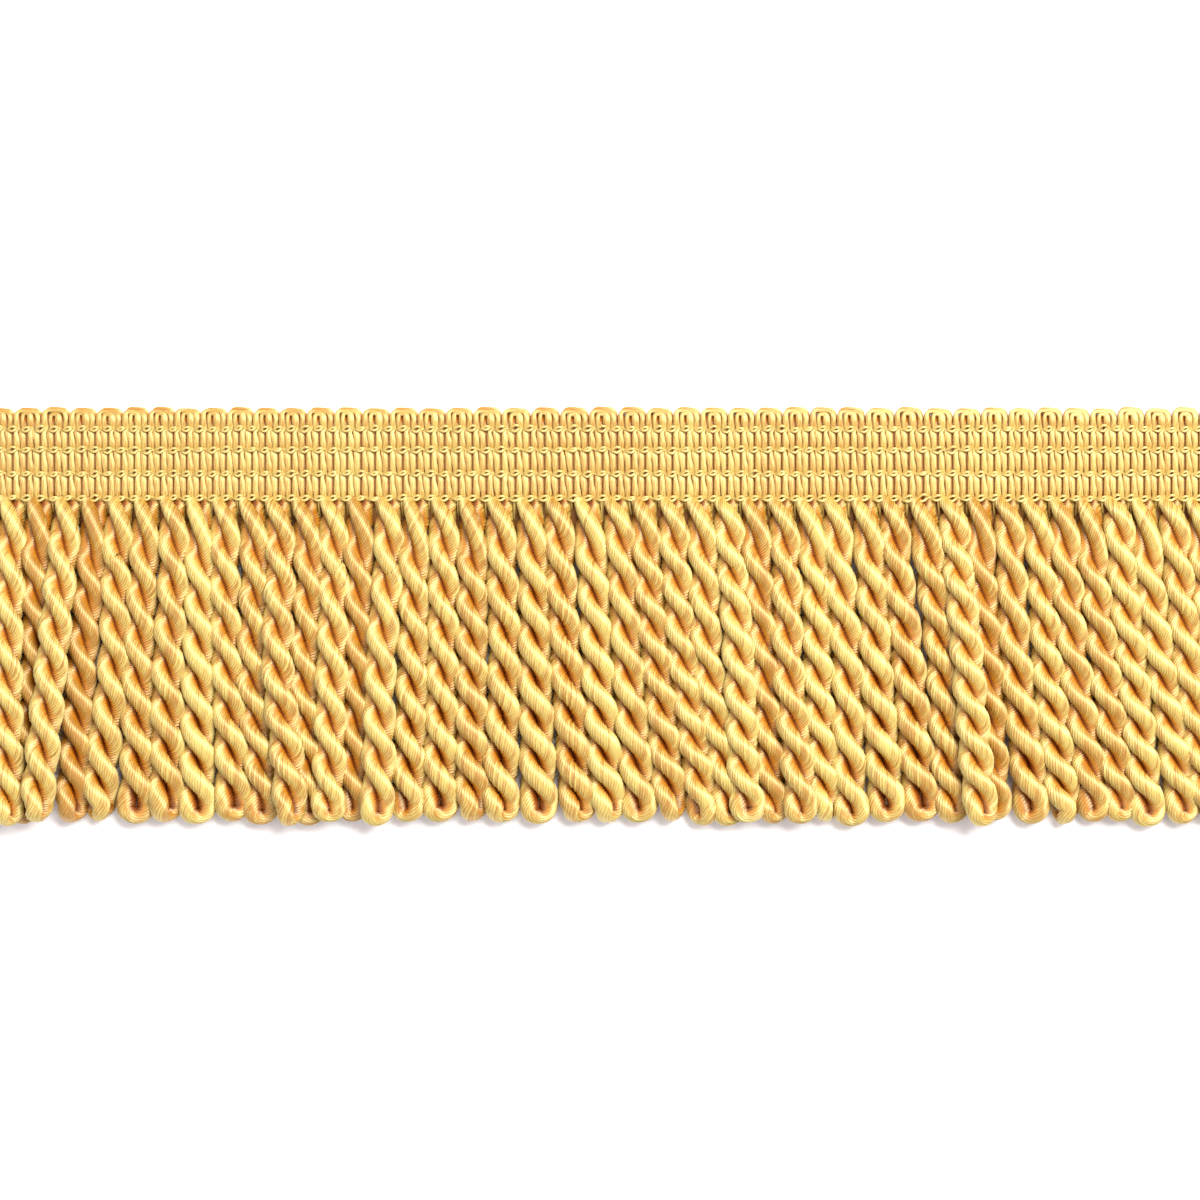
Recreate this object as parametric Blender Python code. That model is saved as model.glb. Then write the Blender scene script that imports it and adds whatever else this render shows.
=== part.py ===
"""A cut length of cord fringe (bullion fringe) for upholstery, lying flat.

Two pieces, in metres, +Z up. The woven heading is a thick narrow band along X with a looped top
edge towards +Y. The cord skirt is one comb towards -Y: a tooth for each twisted cord, all held by
a narrow web where the cords leave the heading. Both lie on the plane z = 0.
"""

import random

import bmesh
import bpy
from math import pi, sin

MM = 0.001
GAP = 0.3 * MM  # between the heading and the skirt

# The run of trim
CORDS = 48
PITCH = 4.2 * MM
LENGTH = CORDS * PITCH

# The heading: its width takes in the loops along the top edge
HEADING_WIDTH = 14.7 * MM
HEADING_THICK = 2.2 * MM
GROOVE_THICK = 1.85 * MM  # at the binding lines
GROOVE_HALF = 0.55 * MM
LOOP_HEIGHT = 3.3 * MM
LOOP_CROWN = 2.0 * MM
LOOP_EDGE = 1.3 * MM
LOOP_UNEVEN = 0.25 * MM
BINDING_LINES = (0.55 * MM, 4.3 * MM, 7.9 * MM, 11.1 * MM)  # up from the lower edge

# The loops' outline over one pitch, from one loop's middle to the next one's: (place along the
# pitch, share of the loop's height)
LOOP_SHAPE = ((0.0, 1.0), (0.36, 0.9), (0.5, 0.68), (0.64, 0.92))

# The cords: drop from the heading to the tips, and a cord's size as a tooth
DROP = 48.9 * MM
DROP_UNEVEN = 0.7 * MM
CORD_WIDTH = 4.8 * MM
CORD_HEIGHT = 4.8 * MM
ROOT_HEIGHT = 3.0 * MM
TOOTH_GAP = 0.36 * MM  # left between neighbouring teeth
NARROWEST = 1.4 * MM
CHAMFER = 0.29  # of the smaller of a tooth's width and height
WEB_DEPTH = 2.4 * MM  # the stretch below the heading in which the teeth are joined
LEAN_CURVE = 1.2  # a cord leaves the heading straight and leans further towards its tip

# The spacing of the cords is not quite even: (place in cords, shift along X in mm)
SPACING = ((0, 0.0), (5, 0.1), (13, -1.6), (20, -1.3), (25, -0.2), (33, -0.5), (37, 0.5), (48, 0.0))

# How each stretch of the skirt lies: (cord, its tip's shift along X in mm), joined linearly
LEAN = (
    (0, -0.2),
    (2, -0.5),
    (3, -2.1),
    (4, -4.3),
    (5, -3.9),
    (7, -2.1),
    (9, -0.2),
    (10, 1.0),
    (12, 1.6),
    (14, -0.2),
    (16, -2.0),
    (18, -0.6),
    (20, 0.6),
    (22, 2.9),
    (26, 4.5),
    (28, 3.6),
    (30, 2.7),
    (32, 2.9),
    (35, 5.3),
    (36, 4.4),
    (37, 2.3),
    (39, 4.4),
    (42, 4.9),
    (43, 5.8),
    (47, 4.8),
)

# Cords that ride up on the ones beside them: (cord, lift of its tip in mm)
RAISED = ((2, 2.4), (4, 3.0), (12, 1.8), (14, 1.5), (16, 1.5), (36, 2.7))
RIDE_START = 0.2  # share of the drop at which a cord begins to ride up

# A tooth's sections: (share of the drop, share of the full width, share of the full height)
SECTIONS = (
    (0.12, 1.0, 0.86),
    (0.26, 1.0, 1.0),
    (0.42, 1.0, 1.0),
    (0.58, 1.0, 1.0),
    (0.74, 1.0, 1.0),
    (0.9, 1.0, 1.0),
    (0.955, 0.86, 0.86),
    (0.988, 0.62, 0.66),
    (1.0, 0.3, 0.4),
)

SEED = 11


def make_material(name, colour, roughness):
    """A Principled material of one colour, given as linear red, green and blue."""
    material = bpy.data.materials.new(name)
    material.use_nodes = True
    shader = material.node_tree.nodes["Principled BSDF"]
    shader.inputs["Base Color"].default_value = (*colour, 1.0)
    shader.inputs["Roughness"].default_value = roughness
    shader.inputs["Metallic"].default_value = 0.0
    return material


def add_object(name, points, faces, material):
    """Makes one object from points and faces, with every face turned outwards."""
    mesh = bpy.data.meshes.new(name)
    mesh.from_pydata(points, [], faces)
    work = bmesh.new()
    work.from_mesh(mesh)
    bmesh.ops.recalc_face_normals(work, faces=work.faces)
    work.to_mesh(mesh)
    work.free()
    mesh.materials.append(material)
    placed = bpy.data.objects.new(name, mesh)
    bpy.context.scene.collection.objects.link(placed)
    return placed


def between(rows, place):
    """Reads a two-column table at a place, joining its rows by straight lines."""
    for (a, low), (b, high) in zip(rows, rows[1:]):
        if place <= b:
            return low + (high - low) * (place - a) / (b - a)
    return rows[-1][1]


def place_x(place):
    """Where a place counted in cords from the left end is along X."""
    return -LENGTH / 2 + place * PITCH + between(SPACING, place) * MM


def heading_profile():
    """The band's upper side from its lower edge upwards, as (y, z) pairs: lands and grooves."""
    profile = []
    for line in BINDING_LINES[:-1]:
        profile.append((max(line - GROOVE_HALF, 0.0), HEADING_THICK if profile else GROOVE_THICK))
        profile.append((line, GROOVE_THICK))
        profile.append((line + GROOVE_HALF, HEADING_THICK))
    profile.append((BINDING_LINES[-1] - GROOVE_HALF, HEADING_THICK))
    return profile


def make_heading(bottom_y, material):
    """The woven band: long lands and grooves, and a row of loops along its top edge."""
    draw = random.Random(SEED)
    left = -LENGTH / 2
    profile = heading_profile()
    points = []
    faces = []
    for x in (left, -left):
        points.extend((x, bottom_y + y, z) for y, z in profile)
        points.append((x, bottom_y, 0.0))
    count = len(profile)
    ends = ((0, count), (count + 1, 2 * count + 1))
    for i in range(count - 1):
        faces.append((ends[0][0] + i, ends[1][0] + i, ends[1][0] + i + 1, ends[0][0] + i + 1))
    faces.append((ends[0][1], ends[1][1], ends[1][0], ends[0][0]))

    root_y = bottom_y + BINDING_LINES[-1]
    foot = HEADING_WIDTH - BINDING_LINES[-1] - LOOP_HEIGHT
    rises = [LOOP_HEIGHT - draw.uniform(0.0, LOOP_UNEVEN) for _ in range(CORDS + 1)]
    steps = []
    for loop in range(CORDS):
        for place, share in LOOP_SHAPE:
            rise = rises[loop] if place < 0.5 else rises[loop + 1]
            steps.append((place_x(loop + place), foot + share * rise))
    steps.append((-left, foot + rises[-1]))
    columns = []
    for x, height in steps:
        first = len(points)
        points.append((x, root_y, GROOVE_THICK))
        points.append((x, root_y + 0.62 * height, LOOP_CROWN))
        points.append((x, root_y + height, LOOP_EDGE))
        points.append((x, root_y + height, 0.0))
        columns.append(first)
    for a, b in zip(columns, columns[1:]):
        for level in range(3):
            faces.append((a + level, b + level, b + level + 1, a + level + 1))
    faces.append((ends[0][0] + count - 1, *columns, ends[1][0] + count - 1))
    faces.append((ends[0][1], *(first + 3 for first in columns), ends[1][1]))
    for (start, stop), column in zip(ends, (columns[0], columns[-1])):
        faces.append((*range(start, start + count), column, column + 1, column + 2, column + 3, stop))
    return add_object("heading", points, faces, material)


def axis_x(cord, share):
    """Where a cord's axis is along X at a share of its drop."""
    return place_x(cord + 0.5) + between(LEAN, cord) * MM * share**LEAN_CURVE


def lift(cord, share):
    """How far a cord is raised at a share of its drop by the ones it rides on."""
    most = dict(RAISED).get(cord, 0.0) * MM
    ridden = max(0.0, (share - RIDE_START) / (1.0 - RIDE_START))
    return most * sin(ridden * pi / 2)


def section(cord, share, y, width, height):
    """Eight points of a tooth at one place: a chamfered oblong, from its lower left, clockwise."""
    x = axis_x(cord, share)
    beside = [abs(axis_x(other, share) - x) for other in (cord - 1, cord + 1) if 0 <= other < CORDS]
    half = max(min(width, min(beside) - TOOTH_GAP), min(width, NARROWEST)) / 2
    low = lift(cord, share)
    top = low + height
    cut = CHAMFER * min(2 * half, height)
    return [
        (x - half + cut, y, low),
        (x - half, y, low + cut),
        (x - half, y, top - cut),
        (x - half + cut, y, top),
        (x + half - cut, y, top),
        (x + half, y, top - cut),
        (x + half, y, low + cut),
        (x + half - cut, y, low),
    ]


def make_skirt(top_y, material):
    """The comb: a chamfered tooth for each cord, and a web that joins them side by side."""
    draw = random.Random(SEED + 1)
    points = []
    faces = []
    roots = []
    for cord in range(CORDS):
        drop = DROP - draw.uniform(0.0, DROP_UNEVEN)
        web_end = WEB_DEPTH / drop
        rings = [(0.0, 1.0, ROOT_HEIGHT / CORD_HEIGHT), (web_end, 1.0, ROOT_HEIGHT / CORD_HEIGHT)]
        rings.extend(SECTIONS)
        first = len(points)
        for share, wide, high in rings:
            y = top_y - share * drop
            points.extend(section(cord, share, y, wide * CORD_WIDTH, high * CORD_HEIGHT))
        faces.append(tuple(range(first, first + 8)))
        faces.append(tuple(range(len(points) - 8, len(points))))
        for ring in range(len(rings) - 1):
            start = first + 8 * ring
            for side in range(8):
                joined = ring == 0 and ((side == 1 and cord > 0) or (side == 5 and cord < CORDS - 1))
                if not joined:
                    after = (side + 1) % 8
                    faces.append((start + side, start + after, start + 8 + after, start + 8 + side))
        roots.append(first)
    for a, b in zip(roots, roots[1:]):
        # The right side of one tooth and the left side of the next, over the web's depth
        corners = ((a + 6, b + 1), (a + 5, b + 2), (a + 13, b + 10), (a + 14, b + 9))
        for (p, q), (r, s) in zip(corners, corners[1:] + corners[:1]):
            faces.append((p, q, s, r))
    return add_object("cord_skirt", points, faces, material)


def centre_on_origin(objects):
    """Moves the pieces together, so that the middle of their box is over the origin."""
    corners = [vertex.co for placed in objects for vertex in placed.data.vertices]
    middle_x = (min(c.x for c in corners) + max(c.x for c in corners)) / 2
    middle_y = (min(c.y for c in corners) + max(c.y for c in corners)) / 2
    for placed in objects:
        placed.location = (-middle_x, -middle_y, 0.0)


def main():
    """Clears the scene and builds the two pieces."""
    for old in list(bpy.data.objects):
        bpy.data.objects.remove(old, do_unlink=True)
    gold_weave = make_material("gold_rayon_weave", (0.76, 0.47, 0.12), 0.5)
    gold_cord = make_material("gold_rayon_cord", (0.78, 0.46, 0.10), 0.42)
    heading = make_heading(GAP / 2, gold_weave)
    skirt = make_skirt(-GAP / 2, gold_cord)
    centre_on_origin((heading, skirt))


main()
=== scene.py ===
"""Gold cord fringe trim, finished: a woven rayon heading with a looped edge and a skirt of twisted cords.

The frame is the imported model: X along the trim, the cord tips towards -Y, +Z up from the surface
that the trim lies on. All sizes are metres, written as millimetres times MM.
"""

import logging
import math
from dataclasses import dataclass, field
from enum import Enum

import bpy
import numpy as np
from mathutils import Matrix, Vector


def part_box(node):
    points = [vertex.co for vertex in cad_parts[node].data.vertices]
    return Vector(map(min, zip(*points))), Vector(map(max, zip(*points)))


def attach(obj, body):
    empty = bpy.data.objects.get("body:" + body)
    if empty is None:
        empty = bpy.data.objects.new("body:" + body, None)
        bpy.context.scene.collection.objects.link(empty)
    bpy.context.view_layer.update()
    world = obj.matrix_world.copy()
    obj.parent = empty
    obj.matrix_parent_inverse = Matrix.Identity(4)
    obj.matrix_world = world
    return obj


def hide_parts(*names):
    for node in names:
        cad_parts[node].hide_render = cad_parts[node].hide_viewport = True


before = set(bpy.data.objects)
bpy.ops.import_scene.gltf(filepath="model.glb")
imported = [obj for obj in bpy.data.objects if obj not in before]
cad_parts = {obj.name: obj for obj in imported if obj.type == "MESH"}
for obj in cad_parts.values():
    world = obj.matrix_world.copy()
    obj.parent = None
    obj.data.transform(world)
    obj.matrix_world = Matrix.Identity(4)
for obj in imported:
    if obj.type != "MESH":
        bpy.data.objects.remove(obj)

MM = 0.001
GROUND_GAP = 0.01 * MM  # nothing goes lower than this above the surface
log = logging.getLogger("cord_fringe")

Rows = tuple[tuple[float, float], ...]
Place = tuple[float, float, float]


class Layer(Enum):
    """Which face of the heading a yarn lies on."""

    FACE = 1
    BACK = -1


# ---------------------------------------------------------------- small helpers


def linear(hex_colour: str) -> tuple[float, float, float, float]:
    """Turns an sRGB hex colour into linear light.

    Args:
        hex_colour: six hex digits after a #.

    Returns:
        Red, green, blue and an alpha of 1.
    """
    parts = [int(hex_colour[i : i + 2], 16) / 255 for i in (1, 3, 5)]
    red, green, blue = (c / 12.92 if c <= 0.04045 else ((c + 0.055) / 1.055) ** 2.4 for c in parts)
    return red, green, blue, 1.0


def add_node(tree: bpy.types.NodeTree, kind: str, settings: dict, links: dict) -> bpy.types.Node:
    """Adds a node with its settings and links.

    Args:
        tree: the node tree to add to.
        kind: the node's type name.
        settings: an attribute's name or an input's name or number, and its value.
        links: an input's name or number, and the output socket that feeds it.

    Returns:
        The new node.
    """
    node = tree.nodes.new(kind)
    for key, value in settings.items():
        if isinstance(key, str) and hasattr(node, key):
            setattr(node, key, value)
        else:
            node.inputs[key].default_value = value
    for key, output in links.items():
        tree.links.new(output, node.inputs[key])
    return node


def read_table(rows: Rows, places: np.ndarray) -> np.ndarray:
    """Reads a two-column table at some places, joining its rows by straight lines."""
    return np.interp(places, [row[0] for row in rows], [row[1] for row in rows])


def smooth_step(values: np.ndarray) -> np.ndarray:
    """Eases values from 0 to 1, held at either end."""
    held = np.clip(values, 0.0, 1.0)
    return held * held * (3.0 - 2.0 * held)


def unit(vectors: np.ndarray) -> np.ndarray:
    """Scales each vector to length 1."""
    return vectors / np.maximum(np.linalg.norm(vectors, axis=-1, keepdims=True), 1e-12)


# ---------------------------------------------------------------- yarns as meshes


@dataclass
class Yarn:
    """One yarn: its centreline and how its section changes along it.

    Attributes:
        path: centre points, one row each.
        outward: for each point, the direction of the section's first axis.
        out_half: the section's half size on the outward side.
        in_half: its half size on the inward side.
        side_half: its half size across.
        twist: how far the strands turn round the yarn at each point, in turns per metre.
        strands: how many strands show as ridges round the yarn; 0 for a smooth yarn.
        ridge: height of a strand above the valley beside it.
        sides: points around; a ridged yarn has two to a strand.
        tone: this yarn's own shade, 0 to 1; lowered further as painted shade on a cord that lies under its
            neighbours.
        depth: how deep the inward side lies in a groove, 0 to 1; it sets how much painted groove shade that
            side takes.
        square: 1 for an oval section; less makes its outward side flatter.
        wedge: 1 for an oval section; more draws its inward side to an edge.
        uneven: for each strand, its height and its shade against the others, near 0.
    """

    path: np.ndarray
    outward: np.ndarray
    out_half: np.ndarray
    in_half: np.ndarray
    side_half: np.ndarray
    twist: np.ndarray
    strands: int = 0
    ridge: float = 0.0
    sides: int = 8
    tone: float = 0.5
    depth: float = 0.3
    square: float = 1.0
    wedge: float = 1.0
    uneven: np.ndarray | None = None


@dataclass
class YarnPile:
    """Many swept yarns, gathered as arrays and made into one mesh.

    Attributes:
        points: each yarn's points, ring after ring.
        quads: the faces of its skin.
        ends: the faces that close it.
        yarn: for each point, its place on the straightened yarn in mm, along Z.
        fibre: for each point, the direction in which the filaments lie.
        groove: for each point, how deep it lies in a groove, which sets its painted shade.
        tone: for each point, its shade.
        runs: each yarn's ring places in mm, its girth in mm and its points around.
        count: the points so far.
    """

    points: list[np.ndarray] = field(default_factory=list)
    quads: list[np.ndarray] = field(default_factory=list)
    ends: list[np.ndarray] = field(default_factory=list)
    yarn: list[np.ndarray] = field(default_factory=list)
    fibre: list[np.ndarray] = field(default_factory=list)
    groove: list[np.ndarray] = field(default_factory=list)
    tone: list[np.ndarray] = field(default_factory=list)
    runs: list[tuple[np.ndarray, float, int]] = field(default_factory=list)
    count: int = 0

    def add(self, yarn: Yarn) -> None:
        """Sweeps one yarn along its path.

        Args:
            yarn: the yarn to add.
        """
        path, sides, rings = yarn.path, yarn.sides, len(yarn.path)
        along = unit(np.gradient(path, axis=0))
        out = unit(yarn.outward - (yarn.outward * along).sum(1, keepdims=True) * along)
        side = np.cross(along, out)
        steps = np.linalg.norm(np.diff(path, axis=0), axis=1)
        run = np.concatenate([[0.0], np.cumsum(steps)])
        wound = np.concatenate([[0.0], np.cumsum(steps * (yarn.twist[1:] + yarn.twist[:-1]) / 2)])
        column = np.arange(sides) * (2 * math.pi / sides)
        angle = column[None, :] + 2 * math.pi * wound[:, None]
        shape = np.where(np.cos(angle) > 0, yarn.square, yarn.wedge)
        cosine, sine = (np.sign(v) * np.abs(v) ** shape for v in (np.cos(angle), np.sin(angle)))
        ridge = yarn.ridge * ((np.arange(sides) % 2) - 0.5) if yarn.strands else np.zeros(sides)
        shade = np.full(sides, yarn.tone)
        if yarn.uneven is not None:
            own = np.repeat(yarn.uneven, 2)
            ridge = ridge * (1 + own)
            shade = shade + own
        reach = np.where(cosine > 0, yarn.out_half[:, None], yarn.in_half[:, None]) + ridge[None, :]
        across = yarn.side_half[:, None] + ridge[None, :]
        points = (
            path[:, None, :]
            + out[:, None, :] * (reach * cosine)[:, :, None]
            + side[:, None, :] * (across * sine)[:, :, None]
        )
        points[..., 2] = np.maximum(points[..., 2], GROUND_GAP)  # a soft yarn lies flat where it bears
        radius = ((yarn.out_half + yarn.in_half) / 4 + yarn.side_half / 2)[:, None] / MM
        place = (radius * np.cos(column), radius * np.sin(column), np.repeat(run[:, None] / MM, sides, 1))
        self.points.append(points.reshape(-1, 3))
        self.fibre.append(unit(np.gradient(points, axis=0)).reshape(-1, 3))
        self.yarn.append(np.stack(place, axis=-1).reshape(-1, 3))
        # The painted shade of a groove grows towards the yarn's inward side
        self.groove.append((yarn.depth * (0.5 - 0.5 * np.cos(angle))).ravel())
        self.tone.append(np.tile(shade, rings))
        ring = np.arange(sides)
        after = np.roll(ring, -1)
        starts = self.count + sides * np.arange(rings - 1)[:, None]
        corners = (starts + ring, starts + after, starts + sides + after, starts + sides + ring)
        self.quads.append(np.stack(corners, axis=-1).reshape(-1, 4))
        self.ends.append(self.count + ring[::-1])
        self.ends.append(self.count + sides * (rings - 1) + ring)
        self.runs.append((run / MM, 2 * math.pi * float(np.mean(radius)), sides))
        self.count += rings * sides

    def triangles(self) -> int:
        """Counts the triangles so far."""
        return sum(2 * len(f) for f in self.quads) + sum(len(e) - 2 for e in self.ends)

    def bake_layout(self) -> np.ndarray:
        """Lays every yarn's skin out flat, in rows like lines of writing, to fill a unit square.

        Returns:
            A place in the square for each corner of each quad, then for each corner of each end.
        """
        line, gap, end_gap = 1.1, 0.15, 0.2  # line height as a share of the girth, and gaps in mm
        area = sum(run[-1] * (around * 1.12 + gap) for run, around, _ in self.runs)
        width = math.sqrt(area) * 1.02
        across, row = 0.0, 0.0
        quads, ends = [], []
        for run, around, sides in self.runs:
            low, high, base = [], [], []
            radius = around / (2 * math.pi)
            for near, far in zip(run, run[1:]):
                if across + (far - near) > width:
                    across, row = 0.0, row + around * line + gap
                low.append(across)
                high.append(across + (far - near))
                base.append(row)
                across += far - near
            ring = np.linspace(0.0, around, sides + 1)
            low, high, base = (np.array(v)[:, None] for v in (low, high, base))
            lower, upper = base + ring[:-1], base + ring[1:]
            left, right = low + 0 * lower, high + 0 * lower
            corners = np.stack([left, lower, left, upper, right, upper, right, lower], axis=-1)
            quads.append(corners.reshape(-1, 2))
            for _ in range(2):
                if across + 2 * radius + end_gap > width:
                    across, row = 0.0, row + around * line + gap
                turn = np.arange(sides) * (2 * math.pi / sides)
                middle_x, middle_y = across + radius + end_gap / 2, row + radius
                ends.append(
                    np.stack([middle_x + radius * np.cos(turn), middle_y + radius * np.sin(turn)], -1)
                )
                across += 2 * radius + end_gap
        tall = row + max(around for _, around, _ in self.runs)
        return np.concatenate(quads + ends) * 0.99 / max(width + end_gap, tall) + 0.004

    def build(self, name: str, material: bpy.types.Material) -> bpy.types.Object:
        """Makes the gathered yarns into one object.

        Args:
            name: the piece's name.
            material: its finish.

        Returns:
            The new object, shaded smooth.
        """
        mesh = bpy.data.meshes.new(name)
        faces = np.concatenate(self.quads).tolist() + [end.tolist() for end in self.ends]
        mesh.from_pydata(np.concatenate(self.points).tolist(), [], faces)
        for title, kind, values in (
            ("yarn", "FLOAT_VECTOR", self.yarn),
            ("fibre", "FLOAT_VECTOR", self.fibre),
            ("groove", "FLOAT", self.groove),
            ("tone", "FLOAT", self.tone),
        ):
            written = mesh.attributes.new(title, kind, "POINT")
            slot = "vector" if kind == "FLOAT_VECTOR" else "value"
            written.data.foreach_set(slot, np.concatenate(values).ravel())
        layout = mesh.uv_layers.new(name="OFBake")
        layout.data.foreach_set("uv", self.bake_layout().ravel())
        mesh.shade_smooth()
        mesh.materials.append(material)
        mesh.update()
        piece = bpy.data.objects.new(name, mesh)
        bpy.context.scene.collection.objects.link(piece)
        return piece


# ---------------------------------------------------------------- finishes


@dataclass(frozen=True)
class FilamentRayon:
    """Viscose rayon, dyed gold: bright continuous filaments thrown together into a soft yarn.

    The filaments lie side by side, so the yarn shines along its whole face like satin wherever
    they lie level and darkens where they dive. Down the side of a groove it is painted an orange,
    painted reflected light for light bounced from yarn to yarn, and at the bottom of one a dark
    brown, painted shade.

    Attributes:
        name: the material's name.
        light: colour on the crests of the strands; the crests are painted lighter, a painted highlight.
        body: colour between the strands, left darker there as painted shade.
        painted_bounce: painted reflected light, the orange down the side of a groove.
        painted_shadow: painted shade, the dark brown at the bottom of a groove.
        painted_bounce_depths: the groove depths over which the body goes to the painted reflected light.
        painted_shadow_depths: the groove depths over which that goes to the painted shade.
        strands: fine yarns round one yarn; drawn a third coarser than life, to show.
        relief: height of a strand's crest in the shading.
        streak_scale: streaks to a millimetre; real filaments are finer and wouldn't show.
        streak_stretch: a streak's width as a share of its length.
        filament_relief: height of a streak in the shading.
        roughness: spread of the shine.
        satin: how much the shine is drawn out across the filaments.
        lustre: strength of the shine.
        sheen_index: above glass, since light also comes back out of the filaments.
        shine: tint of the shine.
        nap: how much loose filament ends catch the light along a yarn's outline.
        nap_tint: their tint.
    """

    name: str
    # The crests of the strands go towards light and the valleys stay at body: a painted highlight and
    # painted shade
    light: str = "#CFB663"
    body: str = "#A56D1B"
    # Painted reflected light down the side of a groove, then painted shade at its bottom
    painted_bounce: str = "#BA7009"
    painted_shadow: str = "#7E3604"
    painted_bounce_depths: tuple[float, float] = (0.36, 0.76)
    painted_shadow_depths: tuple[float, float] = (0.68, 0.86)
    strands: int = 14
    relief: float = 0.09 * MM
    streak_scale: float = 7.5
    streak_stretch: float = 0.14
    filament_relief: float = 0.02 * MM
    roughness: float = 0.52
    satin: float = 0.85
    lustre: float = 1.0
    sheen_index: float = 2.0
    shine: str = "#FFF3BE"
    nap: float = 0.05
    nap_tint: str = "#FFE28C"

    def build(self) -> bpy.types.Material:
        """Makes the material.

        Returns:
            A node material with strands, filaments, shade differences, a painted highlight on the
            strands, painted reflected light and painted shade down its grooves, and a satin shine.
        """
        material = bpy.data.materials.new(self.name)
        material.use_nodes = True
        tree = material.node_tree
        tree.nodes.clear()
        place = add_node(tree, "ShaderNodeAttribute", {"attribute_name": "yarn"}, {}).outputs["Vector"]
        groove = add_node(tree, "ShaderNodeAttribute", {"attribute_name": "groove"}, {}).outputs["Fac"]
        tone = add_node(tree, "ShaderNodeAttribute", {"attribute_name": "tone"}, {}).outputs["Fac"]
        fibre = add_node(tree, "ShaderNodeAttribute", {"attribute_name": "fibre"}, {}).outputs["Vector"]
        parts = add_node(tree, "ShaderNodeSeparateXYZ", {}, {0: place})

        # Strands: ridges that wind round the yarn, highest in the middle of each
        angle = add_node(
            tree, "ShaderNodeMath", {"operation": "ARCTAN2"}, {0: parts.outputs[1], 1: parts.outputs[0]}
        )
        wound = add_node(
            tree, "ShaderNodeMath", {"operation": "MULTIPLY", 1: self.strands / 2}, {0: angle.outputs[0]}
        )
        wave = add_node(tree, "ShaderNodeMath", {"operation": "SINE"}, {0: wound.outputs[0]})
        crest = add_node(tree, "ShaderNodeMath", {"operation": "ABSOLUTE"}, {0: wave.outputs[0]})
        ridge = add_node(tree, "ShaderNodeMath", {"operation": "POWER", 1: 0.6}, {0: crest.outputs[0]})

        # Filaments: fine streaks along the yarn
        stretch = (1.0, 1.0, self.streak_stretch)
        drawn_out = add_node(tree, "ShaderNodeMapping", {"Scale": stretch}, {"Vector": place})
        streaks = add_node(
            tree,
            "ShaderNodeTexNoise",
            {"Scale": self.streak_scale, "Detail": 3.0, "Roughness": 0.6},
            {"Vector": drawn_out.outputs[0]},
        )
        slubs = add_node(
            tree, "ShaderNodeTexNoise", {"Scale": 0.5, "Detail": 2.0, "Roughness": 0.5}, {"Vector": place}
        )

        # Colour: body gold, lighter on the streaks at random and on the crests as a painted highlight;
        # down a groove painted orange for reflected light, then dark brown as painted shade
        shade = add_node(
            tree,
            "ShaderNodeMapRange",
            {"From Min": 0.3, "From Max": 0.7, "To Min": -0.45, "To Max": 0.45},
            {"Value": streaks.outputs[0]},
        )
        # Each yarn's tone, at random, lowered on a cord that lies under its neighbours as painted shade
        own = add_node(
            tree, "ShaderNodeMapRange", {"clamp": False, "To Min": -0.3, "To Max": 0.3}, {"Value": tone}
        )
        patch = add_node(
            tree,
            "ShaderNodeMapRange",
            {"From Min": 0.3, "From Max": 0.7, "To Min": -0.15, "To Max": 0.15},
            {"Value": slubs.outputs[0]},
        )
        # Painted highlight: the crests of the strands go towards the light colour, the valleys between them
        # stay darker as painted shade
        lift = add_node(
            tree, "ShaderNodeMapRange", {"To Min": 0.0, "To Max": 0.75}, {"Value": ridge.outputs[0]}
        )
        total = add_node(
            tree, "ShaderNodeMath", {"operation": "ADD"}, {0: shade.outputs[0], 1: own.outputs[0]}
        )
        total = add_node(
            tree, "ShaderNodeMath", {"operation": "ADD"}, {0: total.outputs[0], 1: patch.outputs[0]}
        )
        total = add_node(
            tree,
            "ShaderNodeMath",
            {"operation": "ADD", "use_clamp": True},
            {0: total.outputs[0], 1: lift.outputs[0]},
        )
        lit = add_node(
            tree,
            "ShaderNodeMix",
            {"data_type": "RGBA", 6: linear(self.body), 7: linear(self.light)},
            {0: total.outputs[0]},
        )
        # Painted reflected light: orange down the side of a groove
        painted_bounce_mask = add_node(
            tree,
            "ShaderNodeMapRange",
            {
                "interpolation_type": "SMOOTHSTEP",
                "From Min": self.painted_bounce_depths[0],
                "From Max": self.painted_bounce_depths[1],
                "To Max": 0.95,
            },
            {"Value": groove},
        )
        with_painted_bounce = add_node(
            tree,
            "ShaderNodeMix",
            {"data_type": "RGBA", 7: linear(self.painted_bounce)},
            {0: painted_bounce_mask.outputs[0], 6: lit.outputs[2]},
        )
        # Painted shade: dark brown at the bottom of a groove
        painted_shadow_mask = add_node(
            tree,
            "ShaderNodeMapRange",
            {
                "interpolation_type": "SMOOTHSTEP",
                "From Min": self.painted_shadow_depths[0],
                "From Max": self.painted_shadow_depths[1],
            },
            {"Value": groove},
        )
        colour = add_node(
            tree,
            "ShaderNodeMix",
            {"data_type": "RGBA", 7: linear(self.painted_shadow)},
            {0: painted_shadow_mask.outputs[0], 6: with_painted_bounce.outputs[2]},
        )

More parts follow.
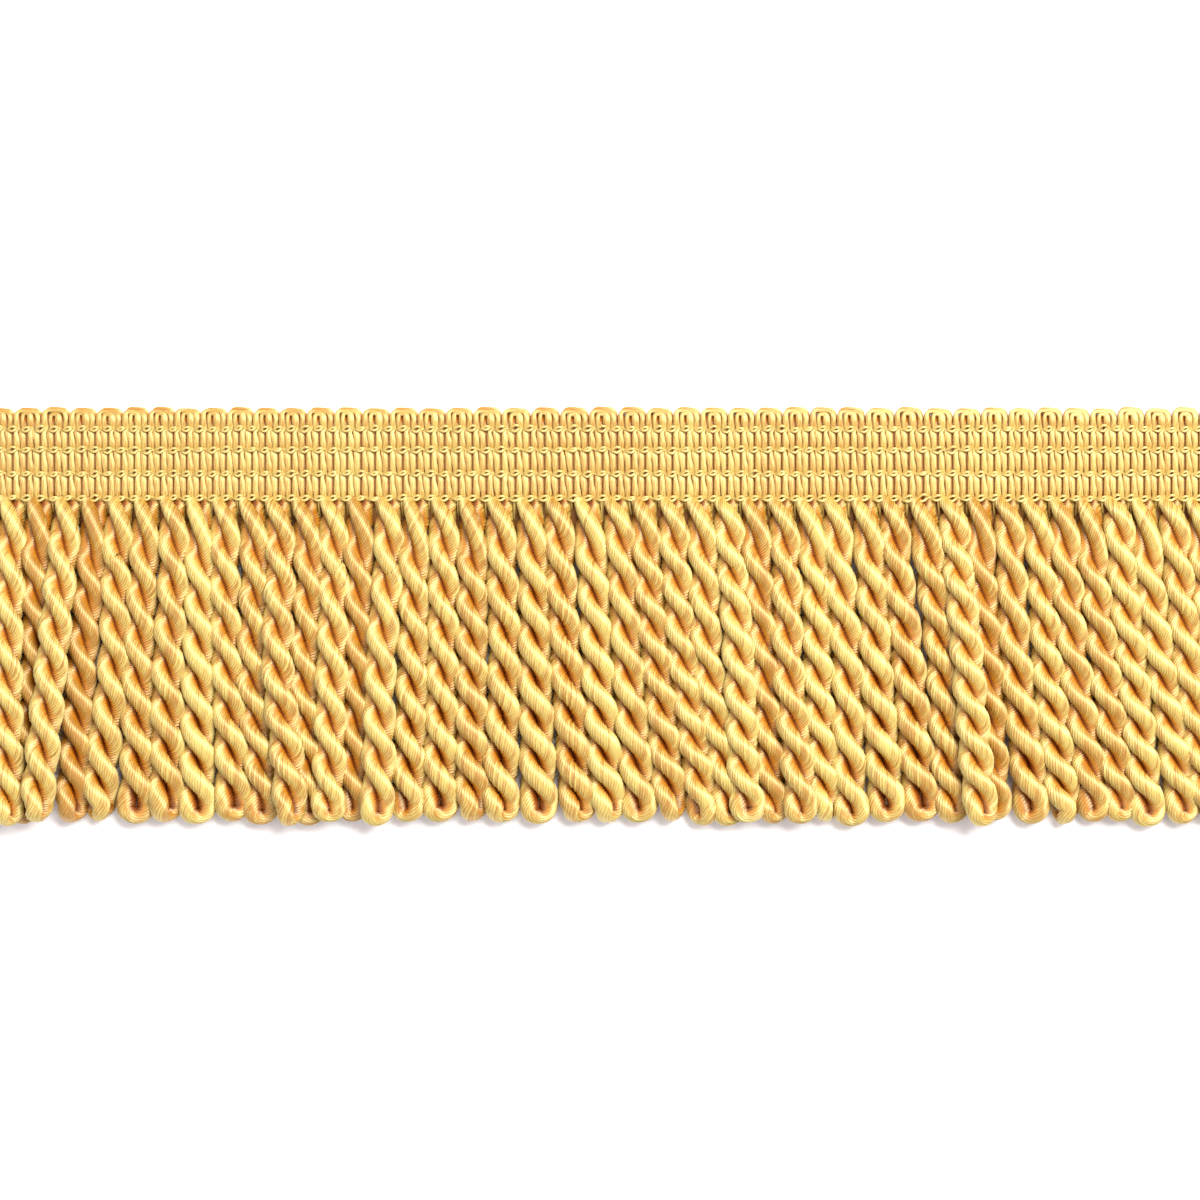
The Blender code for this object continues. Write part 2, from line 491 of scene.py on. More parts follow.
        # Relief: strands first, filaments on top
        coarse = add_node(
            tree, "ShaderNodeBump", {"Strength": 1.0, "Distance": self.relief}, {"Height": ridge.outputs[0]}
        )
        fine = add_node(
            tree,
            "ShaderNodeBump",
            {"Strength": 1.0, "Distance": self.filament_relief},
            {"Height": streaks.outputs[0], "Normal": coarse.outputs[0]},
        )
        lie = add_node(
            tree,
            "ShaderNodeVectorTransform",
            {"vector_type": "VECTOR", "convert_from": "OBJECT", "convert_to": "WORLD"},
            {0: fibre},
        )
        shader = add_node(
            tree,
            "ShaderNodeBsdfPrincipled",
            {
                "Roughness": self.roughness,
                "Specular IOR Level": self.lustre,
                "IOR": self.sheen_index,
                "Specular Tint": linear(self.shine),
                "Anisotropic": self.satin,
                "Anisotropic Rotation": 0.25,
                "Sheen Weight": self.nap,
                "Sheen Roughness": 0.3,
                "Sheen Tint": linear(self.nap_tint),
            },
            {"Base Color": colour.outputs[2], "Normal": fine.outputs[0], "Tangent": lie.outputs[0]},
        )
        add_node(tree, "ShaderNodeOutputMaterial", {}, {"Surface": shader.outputs[0]})
        return material


@dataclass(frozen=True)
class PaleBoard:
    """White card, rolled smooth: matt, so it shows soft shadows and no shine."""

    name: str = "pale_board"
    white: str = "#FBFAFC"

    def build(self) -> bpy.types.Material:
        """Makes the material.

        Returns:
            A plain matt material.
        """
        material = bpy.data.materials.new(self.name)
        material.use_nodes = True
        shader = material.node_tree.nodes["Principled BSDF"]
        shader.inputs["Base Color"].default_value = linear(self.white)
        shader.inputs["Roughness"].default_value = 0.9
        shader.inputs["Specular IOR Level"].default_value = 0.1
        return material


# ---------------------------------------------------------------- how the run lies

# The spacing of the cords is not quite even: (cord, shift along X in mm)
SPACING: Rows = ((0, 0.0), (5, 0.1), (13, -1.6), (20, -1.3), (25, -0.2), (33, -0.5), (37, 0.5), (48, 0.0))

# How each stretch of the skirt lies: (cord, its tip's shift along X in mm)
LEAN: Rows = (
    (0, -0.2),
    (2, -0.5),
    (3, -2.1),
    (4, -4.3),
    (5, -3.9),
    (7, -2.1),
    (9, -0.2),
    (10, 1.0),
    (12, 1.6),
    (14, -0.2),
    (16, -2.0),
    (18, -0.6),
    (20, 0.6),
    (22, 2.9),
    (26, 4.5),
    (28, 3.6),
    (30, 2.7),
    (32, 2.9),
    (35, 5.3),
    (36, 4.4),
    (37, 2.3),
    (39, 4.4),
    (42, 4.9),
    (43, 5.8),
    (47, 4.8),
)

# Cords that lie under both of their neighbours, in their shade, which is also painted into their colour
UNDER: tuple[int, ...] = (3, 5, 13, 15, 29, 35, 37)


@dataclass
class Run:
    """The cut length: where each cord's share of it begins and ends along X."""

    cords: int = 48
    left: float = 0.0
    length: float = 0.0
    lower_edge: float = 0.0
    top_edge: float = 0.0
    thick: float = 0.0
    tips: float = 0.0

    @classmethod
    def from_frame(cls) -> "Run":
        """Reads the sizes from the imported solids.

        Returns:
            The run as the solids give it.
        """
        low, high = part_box("heading")
        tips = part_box("cord_skirt")[0][1]
        return cls(
            left=low[0],
            length=high[0] - low[0],
            lower_edge=low[1],
            top_edge=high[1],
            thick=high[2] - low[2],
            tips=tips,
        )

    @property
    def pitch(self) -> float:
        """One cord's share of the length."""
        return self.length / self.cords

    def x(self, place: np.ndarray | float) -> np.ndarray | float:
        """Where a place counted in cords from the left end lies along X."""
        return self.left + place * self.pitch + read_table(SPACING, place) * MM


# ---------------------------------------------------------------- the heading


@dataclass
class Heading:
    """The woven band: weft yarns that loop at the top edge, four lines of binding thread, a core."""

    run: Run
    binding_lines: tuple[float, ...] = (0.55 * MM, 4.3 * MM, 7.9 * MM, 11.1 * MM)
    column_half: float = 0.94 * MM  # half of the width of a pair of weft yarns
    waist: float = 0.06 * MM  # how far a pair is drawn in at a binding line
    flare: float = 0.1 * MM  # how far a pair's left edge falls away just under a line
    sway: float = 0.2 * MM  # how far the parting between the two yarns wanders
    weft_half_thick: float = 0.37 * MM
    dip: float = 0.26 * MM
    thread_half: float = 0.21 * MM
    thread_reach: float = 0.34 * MM
    core_edges: tuple[float, float] = (0.2 * MM, 13.0 * MM)  # from the heading's lower edge
    core_half: float = 0.31 * MM
    rib_height: float = 0.09 * MM
    below_lines: float = -3.2 * MM  # where a line below the lowest would be
    above_lines: float = 14.6 * MM  # where a line above the highest would be
    bound_reach: float = 0.5 * MM  # how far from a line the yarns are drawn in
    outer_rise: float = 0.72 * MM  # the loops' centrelines stop this far below the top edge
    inner_rise: float = 1.1 * MM
    outer_square: float = 0.42  # 1 is a round loop; less is a squarer one
    inner_square: float = 0.55
    back_shift: float = 0.25 * MM  # the back's loops against the face's, along X
    back_rise: float = 0.32 * MM  # and upwards
    pieces: list[bpy.types.Object] = field(default_factory=list)

    def columns(self, heights: np.ndarray, side: int, draw: np.random.Generator) -> tuple[np.ndarray, ...]:
        """Works out how a pair of weft yarns shares a column, from its lower edge up.

        Args:
            heights: heights above the heading's lower edge.
            side: -1 for the column left of a loop's middle, 1 for the one right of it; not used.
            draw: the source of small differences.

        Returns:
            The pair's left edge, its parting and its right edge, from the column's middle, and a
            measure that is 1 on a binding line and 0 away from it.
        """
        lines = np.array([self.below_lines, *self.binding_lines, self.above_lines])
        row = np.clip(np.searchsorted(lines, heights) - 1, 0, len(lines) - 2)
        place = (heights - lines[row]) / (lines[row + 1] - lines[row])
        near = np.min(np.abs(heights[:, None] - np.array(self.binding_lines)[None, :]), axis=1)
        bound = np.exp(-((near / self.bound_reach) ** 2))
        amounts = draw.uniform(0.5, 1.5, len(lines))[row]
        parting = self.sway * amounts * np.sin((0.5 - place) * math.pi * 0.85)
        parting = parting + 0.05 * MM * np.sin(heights / (0.45 * MM) + draw.uniform(0, 6.28))
        left = -self.column_half + self.waist * bound
        left = left + self.flare * np.exp(-(((1 - place) / 0.2) ** 2)) * (1 - bound)
        right = self.column_half - self.waist * bound
        return left, parting, right, bound

    def weft_loop(self, place: float, outer: bool, layer: Layer, draw: np.random.Generator) -> Yarn:
        """Lays one weft yarn: up one column, over in a loop, and down the next.

        Args:
            place: the loop's middle, counted in cords from the left end.
            outer: True for the outer yarn of the pair, False for the inner.
            layer: the face or the back of the heading.
            draw: the source of small differences.

        Returns:
            The yarn.
        """
        run = self.run
        on_face = layer is Layer.FACE
        root = self.binding_lines[-1] + 0.5 * MM
        rise = run.top_edge - run.lower_edge - root - (self.outer_rise if outer else self.inner_rise)
        rise += draw.uniform(-0.25, 0.0) * MM
        if not on_face:
            rise += self.back_rise
        shift = 0.0 if on_face else self.back_shift

        heights = np.linspace(0.3 * MM, root, 25 if on_face else 13)
        legs = []
        for side in (-1, 1):
            left, parting, right, bound = self.columns(heights, side, draw)
            leftmost = (side < 0) == outer
            low, high = (left, parting) if leftmost else (parting, right)
            legs.append((side * run.pitch / 4 + (low + high) / 2, (high - low) / 2, bound))
        (left_x, left_half, left_bound), (right_x, right_half, right_bound) = legs
        turn = np.linspace(0.0, math.pi, 15 if on_face else 11)[1:-1]
        span = (right_x[-1] - left_x[-1]) / 2 * (1.09 if outer else 1.0)
        centre = (right_x[-1] + left_x[-1]) / 2
        # A loop is squarer than a half circle, and its shoulders lean a little to the left
        square = self.outer_square if outer else self.inner_square
        if not outer:
            centre, span = centre - 0.12 * MM, span + 0.03 * MM
        loop_x = centre - span * np.sign(np.cos(turn)) * np.abs(np.cos(turn)) ** square
        rightward = np.sin(turn) * (1 - np.cos(turn)) / 2
        if not outer:
            loop_x = loop_x + 0.2 * MM * rightward
        loop_y = root + rise * np.sin(turn) ** square * (1 + 0.07 * np.cos(turn))
        loop_half = left_half[-1] + (right_half[-1] - left_half[-1]) * turn / math.pi
        loop_half = loop_half * (1 - (0.36 if outer else 0.26) * np.sin(turn) ** 2)
        # The left-hand legs are thin ones with a gap between them, and the right-hand legs close up
        loop_half = loop_half * (1 - 0.08 * (1 + np.cos(turn)) + (0.2 if outer else 0.45) * rightward)
        across = np.concatenate([left_x, loop_x, right_x[::-1]])
        x = run.x(place + across / run.pitch) + shift
        y = np.concatenate([heights, loop_y, heights[::-1]]) + run.lower_edge
        half = np.concatenate([left_half, loop_half, right_half[::-1]])
        bound = np.concatenate([left_bound, np.zeros(len(turn)), right_bound[::-1]])
        over = np.concatenate([np.zeros(len(left_x)), np.sin(turn), np.zeros(len(right_x))])
        crown = run.thick - self.weft_half_thick - self.dip * bound - (0.3 if outer else 0.18) * MM * over
        z = crown if on_face else run.thick - crown
        path = np.stack([x, y, z], axis=-1)
        flat = np.full(len(path), self.weft_half_thick)
        return Yarn(
            path=path,
            outward=np.tile([0.0, 0.0, 1.0 if on_face else -1.0], (len(path), 1)),
            out_half=flat,
            in_half=flat,
            side_half=half,
            twist=np.full(len(path), 60.0),
            sides=10 if on_face else 8,
            tone=draw.uniform(),
            # The face's weft yarns take strong painted reflected light and painted shade down their sides
            depth=1.35 if on_face else 0.7,
        )

    def binding_thread(self, line: float, over: int, layer: Layer, draw: np.random.Generator) -> Yarn:
        """Lays one of the two threads that are twined along a binding line.

        Args:
            line: the line's height above the lower edge.
            over: 1 for the thread that lies above each gap between columns, -1 for the one below.
            layer: the face or the back of the heading.
            draw: the source of small differences.

        Returns:
            The yarn.
        """
        run = self.run
        on_face = layer is Layer.FACE
        steps = 7 if on_face else 5
        cells = 2 * run.cords
        places = np.linspace(0.0, cells, cells * steps + 1)
        within = (places + 0.5) % 1.0 - 0.5  # 0 in a gap, a half either way in the middle of a column
        opened = np.cos(math.pi * within) ** 2
        wander = np.interp(places, np.arange(cells + 1), draw.normal(0.0, 0.09, cells + 1)) * MM
        y = run.lower_edge + line + over * self.thread_reach * opened**1.5 + 0.42 * MM * within + wander
        dive = np.exp(-(((0.5 - np.abs(within)) / 0.17) ** 2))
        lift = run.thick - self.dip + 0.34 * MM - 0.66 * MM * dive
        z = lift if on_face else run.thick - lift
        z = np.maximum(z, self.thread_half + 0.01 * MM)
        path = np.stack([run.x(places / 2), y, z], axis=-1)
        half = np.full(len(path), self.thread_half)
        return Yarn(
            path=path,
            outward=np.tile([0.0, 0.0, 1.0], (len(path), 1)),
            out_half=half,
            in_half=half,
            side_half=half,
            twist=np.full(len(path), 150.0),
            sides=6 if on_face else 5,
            tone=draw.uniform(0.6, 1.0),
            depth=0.3,
        )

    def stray_leg(self, place: float, draw: np.random.Generator) -> Yarn:
        """Lays one of the thin yarns that leave the heading between two cords.

        Args:
            place: where it leaves, counted in cords from the left end.
            draw: the source of small differences.

        Returns:
            The yarn.
        """
        run = self.run
        x = float(run.x(place)) + draw.uniform(-0.3, 0.3) * MM
        length = draw.uniform(1.6, 3.6) * MM
        step = np.linspace(0.0, 1.0, 9)
        path = np.stack(
            [
                x + draw.uniform(-0.1, 0.5) * MM * step**2,
                run.lower_edge + 0.5 * MM - length * step,
                1.75 * MM - 1.1 * MM * step**2,
            ],
            axis=-1,
        )
        half = np.full(len(path), 0.17 * MM)
        return Yarn(
            path=path,
            outward=np.tile([0.0, 0.0, 1.0], (len(path), 1)),
            out_half=half,
            in_half=half,
            side_half=half,
            twist=np.full(len(path), 120.0),
            sides=6,
            tone=draw.uniform(0.5, 1.0),
            depth=0.3,
        )

    def back_leg(self, place: float, draw: np.random.Generator) -> Yarn:
        """Lays the flat yarn that fills the gap between two cords, behind them, near their roots.

        Args:
            place: where the gap is, counted in cords from the left end.
            draw: the source of small differences.

        Returns:
            The yarn.
        """
        run = self.run
        step = np.linspace(0.0, 1.0, 10)
        path = np.stack(
            [
                np.full(10, float(run.x(place))) + 0.35 * MM * step,
                run.lower_edge + 0.6 * MM - draw.uniform(5.5, 7.5) * MM * step,
                0.5 * MM - 0.1 * MM * step,
            ],
            axis=-1,
        )
        half = np.full(len(path), 0.36 * MM)
        return Yarn(
            path=path,
            # Turned face down, so that its top takes the painted shadow of a groove's bottom: painted shade
            # in the gap between the cords, with a low tone for the same
            outward=np.tile([0.0, 0.0, -1.0], (len(path), 1)),
            out_half=half,
            in_half=half,
            side_half=(1.0 - 0.55 * step**2) * MM,
            twist=np.full(len(path), 60.0),
            sides=8,
            tone=draw.uniform(0.0, 0.5),
            depth=1.6,
        )

    def core(self, material: bpy.types.Material) -> bpy.types.Object:
        """Makes the ribbed inner band, which closes the gaps between the weft yarns.

        Args:
            material: its finish.

        Returns:
            The band, a closed sheet.
        """
        run = self.run
        places = np.linspace(0.0, run.cords, run.cords * 8 + 1)
        ys = run.lower_edge + np.linspace(*self.core_edges, 9)
        x = run.x(places)
        rib = self.rib_height * np.cos(places * 4 * math.pi + math.pi)
        half = self.core_half
        middle = run.thick / 2
        across, length = len(ys), len(x)
        top = np.stack(np.broadcast_arrays(x[:, None], ys[None, :], (middle + half + rib)[:, None]), -1)
        under = np.stack(np.broadcast_arrays(x[:, None], ys[None, :], (middle - half - rib)[:, None]), -1)
        points = np.concatenate([top.reshape(-1, 3), under.reshape(-1, 3)])
        grid = np.arange(across * length).reshape(length, across)
        low = grid + across * length
        faces = [
            np.stack([grid[:-1, :-1], grid[1:, :-1], grid[1:, 1:], grid[:-1, 1:]], -1).reshape(-1, 4),
            np.stack([low[:-1, :-1], low[:-1, 1:], low[1:, 1:], low[1:, :-1]], -1).reshape(-1, 4),
        ]
        rims = ((grid[:, 0], low[:, 0]), (low[:, -1], grid[:, -1]), (low[0], grid[0]), (grid[-1], low[-1]))
        for a, b in rims:
            faces.append(np.stack([b[:-1], b[1:], a[1:], a[:-1]], -1).reshape(-1, 4))
        mesh = bpy.data.meshes.new("heading_core")
        mesh.from_pydata(points.tolist(), [], np.concatenate(faces).tolist())
        for title, values in (
            ("yarn", points / MM * np.array([1.0, 4.0, 1.0])),
            ("fibre", np.tile([0.0, 1.0, 0.0], (len(points), 1))),
        ):
            mesh.attributes.new(title, "FLOAT_VECTOR", "POINT").data.foreach_set("vector", values.ravel())
        # The whole band takes the painted shadow of a groove's bottom: painted shade for the hollow inside
        # the weave
        for title, value in (("groove", 0.95), ("tone", 0.3)):
            level = np.full(len(points), value)
            mesh.attributes.new(title, "FLOAT", "POINT").data.foreach_set("value", level)
        mesh.shade_smooth()
        mesh.materials.append(material)
        piece = bpy.data.objects.new("heading_core", mesh)
        bpy.context.scene.collection.objects.link(piece)
        return piece

    def build(self, weave: bpy.types.Material, thread: bpy.types.Material) -> list[bpy.types.Object]:
        """Builds the weft, the binding and the core.

        Args:
            weave: the finish of the weft and the core.
            thread: the finish of the binding thread.

        Returns:
            The pieces, with the core first.
        """
        draw = np.random.default_rng(3)
        self.pieces = [self.core(weave)]
        for layer, name in ((Layer.BACK, "heading_weft_back"), (Layer.FACE, "heading_weft_face")):
            pile = YarnPile()
            for loop in range(self.run.cords + 1):
                for outer in (False, True):
                    pile.add(self.weft_loop(loop, outer, layer, draw))
            log.info("%s: %d triangles", name, pile.triangles())
            self.pieces.append(pile.build(name, weave))
        for layer, name in ((Layer.BACK, "binding_threads_back"), (Layer.FACE, "binding_threads_face")):
            pile = YarnPile()
            for line in self.binding_lines:
                for over in (-1, 1):
                    pile.add(self.binding_thread(line, over, layer, draw))
            if layer is Layer.FACE:
                for cord in range(1, self.run.cords):
                    for _ in range(2):
                        pile.add(self.stray_leg(cord, draw))
            else:
                for cord in range(1, self.run.cords):
                    pile.add(self.back_leg(cord, draw))
            log.info("%s: %d triangles", name, pile.triangles())
            self.pieces.append(pile.build(name, thread))
        for piece in self.pieces:
            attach(piece, "root")
            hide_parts("heading")
        return self.pieces


# ---------------------------------------------------------------- the cords


@dataclass
class CordSkirt:
    """The skirt of twisted cords, each one soft yarn doubled back on itself with a loop at its tip."""

    run: Run
    into_heading: float = 0.6 * MM
    root_height: float = 1.1 * MM
    root_reach: float = 2.4 * MM  # how far down a ply is still pressed flat by the heading
    root_thick: float = 1.05 * MM  # a ply's half thickness there
    root_side: float = 0.8 * MM  # and its half width
    root_radius: float = 1.12 * MM  # from the cord's axis to its plies' centres
    top_radius: float = 1.2 * MM
    tip_radius: float = 1.42 * MM
    squash: float = 0.9  # the cord's height as a share of its width
    ply_out: float = 1.2 * MM
    ply_in: float = 1.56 * MM
    ply_side: float = 1.17 * MM
    lowest: float = 0.8  # a ply's middle stays this share of ply_out above the ground
    swell: float = 0.05  # how much thicker the plies are by the tips
    spread: float = 0.85  # how much wider a ply is where it bears on the ground
    half_turn_top: float = 6.6 * MM
    half_turn_tip: float = 5.8 * MM
    first_eye: float = 6.9 * MM
    root_phase: float = math.radians(152)
    loop_straight: float = 1.0 * MM  # the twist lost where it dies away above the tip loop
    close: float = 4.25 * MM  # where cords are further apart than this, they spread to fill the room
    most_room: float = 1.18  # the most that it spreads
    settle: float = 4.1 * MM  # cords closer than this ride up on one another
    drop_uneven: float = 0.9 * MM
    strands: int = 14
    ridge: float = 0.16 * MM
    square: float = 0.88
    wedge: float = 1.12
    rings: int = 248
    strand_twist: float = 195.0  # turns a metre: the strands cross the ply at over 45 degrees
    tip_narrow: float = 1.7 * MM  # how far from the bottom of the loop a ply is narrowed
    tip_untwist: float = 2.8 * MM  # how far from it the strands untwist
    shaded: float = 0.9  # painted shade: how much darker a cord is painted that lies under its neighbours, for their shadow
    pieces: list[bpy.types.Object] = field(default_factory=list)

    def axis_x(self, cord: int, share: np.ndarray) -> np.ndarray:
        """Where a cord's axis is along X at shares of its drop."""
        top = float(self.run.x(cord + 0.5))
        return top + float(read_table(LEAN, np.array(cord))) * MM * np.clip(share, 0, 2) ** 1.2

    def lift(self, cord: int, share: np.ndarray) -> np.ndarray:
        """Works out how far a cord rides up on neighbours that lie under it.

        Args:
            cord: which cord, from the left.
            share: shares of its drop.

        Returns:
            Its lift at each share.
        """
        raised = np.zeros_like(share)
        for other in (cord - 1, cord + 1):
            if other in UNDER and cord not in UNDER:
                apart = self.axis_x(cord, share) - self.axis_x(other, share)
                raised = np.maximum(raised, np.sqrt(np.maximum(0.0, self.settle**2 - apart**2)))
        return raised * smooth_step(share / 0.35)

    def room(self, cord: int, share: np.ndarray) -> np.ndarray:
        """Works out how much a cord spreads where its neighbours leave it room.

        Args:
            cord: which cord, from the left.
            share: shares of its drop.

        Returns:
            Its width at each share against the usual one.
        """
        beside = [other for other in (cord - 1, cord + 1) if 0 <= other < self.run.cords]
        apart = [np.abs(self.axis_x(other, share) - self.axis_x(cord, share)) for other in beside]
        return np.clip(np.mean(apart, axis=0) / self.close, 1.0, self.most_room)

    def phase(self, depth: np.ndarray, first: float, last: float, tilt: float) -> np.ndarray:
        """The turn of the first ply round the axis at depths below the heading.

        Args:
            depth: depths below the heading's lower edge.
            first: depth of the first eye, where the plies lie side by side.
            last: depth at which the tip loop begins, by when the twist has died away.
            tilt: how far the tip loop is turned from lying flat, in half turns.

        Returns:
            Angles in radians: 0 is to the right, a quarter turn is on top.
        """
        slope = (self.half_turn_tip - self.half_turn_top) / (self.run.lower_edge - self.run.tips)
        pace = slope / (self.half_turn_top + slope * first)
        below = np.maximum(depth - first, 0.0)
        easing = np.maximum(depth - last + 2 * self.loop_straight, 0.0)
        below = below - easing**2 / (4 * self.loop_straight)
        whole = math.log1p(pace * (last - first - self.loop_straight)) / slope
        fitted = (round(whole) + tilt) / whole
        wound = np.log1p(pace * below) / slope * fitted
        above = np.minimum(depth - first, 0.0)
        return -math.pi * wound - self.root_phase * above / first

    def ply(self, cord: int, draw: np.random.Generator) -> Yarn:
        """Works out one cord's ply from the heading down, round the tip loop and back up.

        Args:
            cord: which cord, from the left.
            draw: the source of small differences.

        Returns:
            The ply as one yarn.
        """
        run = self.run
        drop = run.lower_edge - run.tips - draw.uniform(0.0, self.drop_uneven)
        first = self.first_eye + (1.0 if cord % 2 else -1.0) * MM + draw.normal(0.0, 0.5) * MM
        tilt = draw.normal(0.04, 0.13) + (0.4 if draw.uniform() < 0.18 else 0.0)
        wander = draw.normal(0.0, 0.2, 2) * MM
        rest = abs(draw.normal(0.0, 0.18)) * MM
        loop_wide = draw.uniform(0.9, 1.08)
        curl = draw.uniform(-0.3, 0.8)
        thin = draw.uniform(0.6, 0.74)  # the ply narrows where it turns back
        end = drop - self.ply_out * thin - self.tip_radius * loop_wide

        depth = np.linspace(-self.into_heading, end, 700)
        share = np.clip(depth / drop, 0, 1)
        x = self.axis_x(cord, share) + wander[0] * np.sin(share * 5.0) + wander[1] * np.sin(share * 9.0)
        low = self.squash * self.tip_radius + self.ply_out + 0.02 * MM
        risen = smooth_step((depth + 0.6 * MM) / (5.0 * MM))
        z = self.root_height + (low + rest - self.root_height) * risen + self.lift(cord, share)
        centre = np.stack([x, run.lower_edge - depth, z], axis=-1)
        radius = self.root_radius + (self.top_radius - self.root_radius) * smooth_step(depth / (3.5 * MM))
        radius = radius + (self.tip_radius - self.top_radius) * share
        radius = radius * (1 + (loop_wide - 1) * np.exp((depth - end) / (1.8 * MM)))
        room = self.room(cord, share)
        radius = radius * room
        turn = self.phase(depth, first, end, tilt)
        along = unit(np.gradient(centre, axis=0))
        right = unit(np.cross(along, [0.0, 0.0, 1.0])) * -1
        right *= np.sign(right[:, 0:1])
        up = np.cross(along, right)
        up *= np.sign(up[:, 2:3])

        def spoke(angle: np.ndarray) -> np.ndarray:
            """The direction from the axis at an angle round it."""
            return right * np.cos(angle)[:, None] + self.squash * up * np.sin(angle)[:, None]

        gone = curl * np.exp((depth - end) / (2.2 * MM))
        first_out = spoke(turn)
        second_out = spoke(turn + math.pi - gone)
        # The loop swings from the first ply's side to the second's by way of the tip
        swing = np.linspace(0.0, math.pi, 41)[1:-1]
        angle = turn[-1] - gone[-1] * swing / math.pi
        loop_out = right[-1] * np.cos(angle)[:, None] + self.squash * up[-1] * np.sin(angle)[:, None]
        outward = loop_out * np.cos(swing)[:, None] + along[-1] * np.sin(swing)[:, None]
        path = np.concatenate(
            [
                centre + first_out * radius[:, None],
                centre[-1] + radius[-1] * outward,
                (centre + second_out * radius[:, None])[::-1],
            ]
        )
        path[:, 2] = np.maximum(path[:, 2], self.lowest * self.ply_out)
        out = np.concatenate([first_out, outward, second_out[::-1]])
        root = 1 - smooth_step(depth / self.root_reach)
        root = np.concatenate([root, np.zeros(len(swing)), root[::-1]])
        run_length = np.concatenate([[0.0], np.cumsum(np.linalg.norm(np.diff(path, axis=0), axis=1))])
        from_bottom = run_length - run_length[-1] / 2
        lumps = 1 + self.swell * np.concatenate([share, np.ones(len(swing)), share[::-1]]) + sum(
            draw.uniform(0.006, 0.016) * np.sin(run_length / (wave * MM) + draw.uniform(0, 6.28))
            for wave in (0.9, 1.7, 3.1)
        )
        narrow = 1 - (1 - thin) * np.exp(-((from_bottom / self.tip_narrow) ** 2))
        untwist = 1 - 0.75 * np.exp(-((from_bottom / self.tip_untwist) ** 2))
        bearing = 1 + self.spread * (1 - root) * np.clip(-out[:, 2], 0, 1) ** 2
        room = np.concatenate([room, np.full(len(swing), room[-1]), room[::-1]])
        sizes = (
            (self.ply_out + (self.root_thick - self.ply_out) * root) * lumps * narrow,
            (self.ply_in + (self.root_thick - self.ply_in) * root) * lumps * narrow**0.3,
            (self.ply_side + (self.root_side - self.ply_side) * root) * lumps * bearing * narrow**0.5 * room,
            self.strand_twist * untwist,
        )
        even = np.linspace(0.0, run_length[-1], self.rings)
        columns = [np.interp(even, run_length, c) for c in (*path.T, *out.T, *sizes)]
        return Yarn(
            path=np.stack(columns[:3], -1),
            outward=unit(np.stack(columns[3:6], -1)),
            out_half=columns[6],
            in_half=columns[7],
            side_half=columns[8],
            twist=columns[9],
            strands=self.strands,
            ridge=self.ridge,
            sides=2 * self.strands,
            # A cord under its neighbours gets a lower tone, painted shade for their shadow; depth sets the
            # painted groove shade on the plies' inward sides
            tone=draw.uniform() - (self.shaded if cord in UNDER else 0.0),
            depth=1.0,
            square=self.square,
            wedge=self.wedge,
            uneven=np.clip(draw.normal(0.0, 0.5, self.strands), -0.9, 0.9),
        )

    def build(self, finish: bpy.types.Material) -> list[bpy.types.Object]:
        """Builds every cord as its own piece.

        Args:
            finish: the cords' material.

        Returns:
            The cords, from the left.
        """
        for cord in range(self.run.cords):
            pile = YarnPile()
            pile.add(self.ply(cord, np.random.default_rng(100 + cord)))
            piece = pile.build(f"cord_{cord + 1:02d}", finish)
            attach(piece, "root")
            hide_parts("cord_skirt")
            self.pieces.append(piece)
        log.info("%d cords of %d triangles", len(self.pieces), pile.triangles())
        return self.pieces


# ---------------------------------------------------------------- the studio


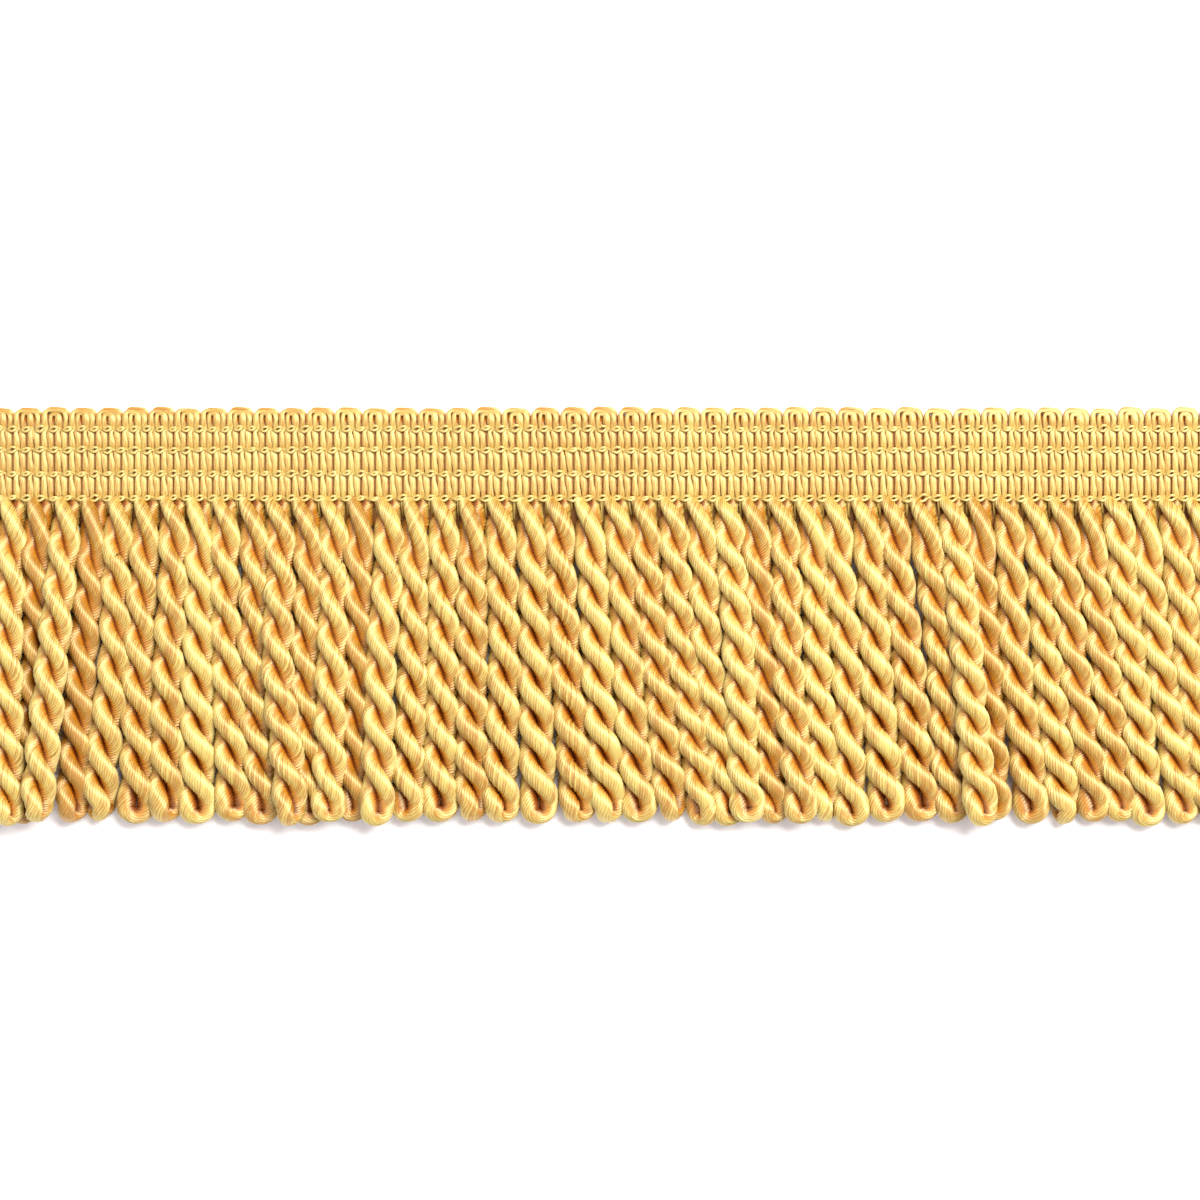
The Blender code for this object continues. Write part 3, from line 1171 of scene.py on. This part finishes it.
@dataclass
class Studio:
    """A pale board under soft light from above, seen from straight above."""

    run: Run
    seen_width: float = 182.2 * MM
    lens: float = 100.0
    sensor: float = 36.0
    aim_right: float = -0.75 * MM  # from the heading's middle
    aim_up: float = -2.3 * MM  # from the middle between the loops and the tips
    focus_height: float = 3.5 * MM  # where the seen width is measured, about the cords' middles
    board_size: float = 3.0
    sky_tint: str = "#F5F1F8"
    sky_strength: float = 0.6

    def floor(self) -> None:
        """Lays the board on the plane z = 0."""
        bpy.ops.mesh.primitive_plane_add(size=self.board_size, location=(0.0, 0.0, 0.0))
        board = bpy.context.object
        board.name = "board"
        board.data.materials.append(PaleBoard().build())

    def light(self, name: str, place: Place, size: float, power: float, tint: str) -> None:
        """Hangs a soft square light that points at the trim.

        Args:
            name: the light's name.
            place: where it hangs.
            size: its side.
            power: its power in watts.
            tint: its colour.
        """
        lamp = bpy.data.lights.new(name, "AREA")
        lamp.size = size
        lamp.energy = power
        lamp.color = linear(tint)[:3]
        hung = bpy.data.objects.new(name, lamp)
        hung.location = place
        aim = -hung.location
        hung.rotation_mode = "QUATERNION"
        hung.rotation_quaternion = aim.to_track_quat("-Z", "Y")
        bpy.context.scene.collection.objects.link(hung)

    def camera(self) -> None:
        """Sets the camera straight above, with the trim's top edge towards the top."""
        view = bpy.data.cameras.new("camera")
        view.lens = self.lens
        view.sensor_width = self.sensor
        view.clip_start = 0.01
        view.clip_end = 20.0
        eye = bpy.data.objects.new("camera", view)
        middle = (self.run.top_edge + self.run.tips) / 2
        eye.location = (
            self.run.left + self.run.length / 2 + self.aim_right,
            middle - self.aim_up,
            self.seen_width * self.lens / self.sensor + self.focus_height,
        )
        bpy.context.scene.collection.objects.link(eye)
        bpy.context.scene.camera = eye

    def build(self) -> None:
        """Sets up the board, the lights, the sky and the camera."""
        self.floor()
        self.light("key", (0.3, 0.36, 0.75), 0.5, 14.7, "#FFFDF8")
        self.light("fill", (-0.5, -0.25, 0.6), 0.6, 1.7, "#FFFFFF")
        world = bpy.data.worlds.new("soft_room")
        world.use_nodes = True
        sky = world.node_tree.nodes["Background"]
        sky.inputs["Color"].default_value = linear(self.sky_tint)
        sky.inputs["Strength"].default_value = self.sky_strength
        scene = bpy.context.scene
        scene.world = world
        scene.view_settings.view_transform = "Standard"
        scene.view_settings.look = "None"
        self.camera()


def main() -> None:
    """Builds the trim and its studio."""
    logging.basicConfig(level=logging.INFO, format="%(message)s")
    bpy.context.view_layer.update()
    run = Run.from_frame()
    Studio(run).build()

    cord_gold = FilamentRayon("viscose_rayon_cord_twisted").build()
    weft_gold = FilamentRayon(
        "viscose_rayon_weft_woven",
        light="#C0A653",
        body="#A77018",
        # Painted reflected light and painted shade for the sides of the weft yarns and for the core
        painted_bounce="#C0770C",
        painted_shadow="#B46606",
        strands=6,
        relief=0.03 * MM,
    ).build()
    thread_gold = FilamentRayon(
        "viscose_rayon_binding_thread",
        light="#C6AE62",
        body="#B89240",
        # Painted shade for the tops of the back legs
        painted_shadow="#9A5008",
        strands=4,
        relief=0.03 * MM,
    ).build()
    heading = Heading(run)
    woven = heading.build(weft_gold, thread_gold)
    log.info("heading: %s", ", ".join(piece.name for piece in woven))
    skirt = CordSkirt(run)
    cords = skirt.build(cord_gold)
    log.info("skirt: %s", ", ".join(piece.name for piece in cords))


if __name__ == "__main__":
    main()
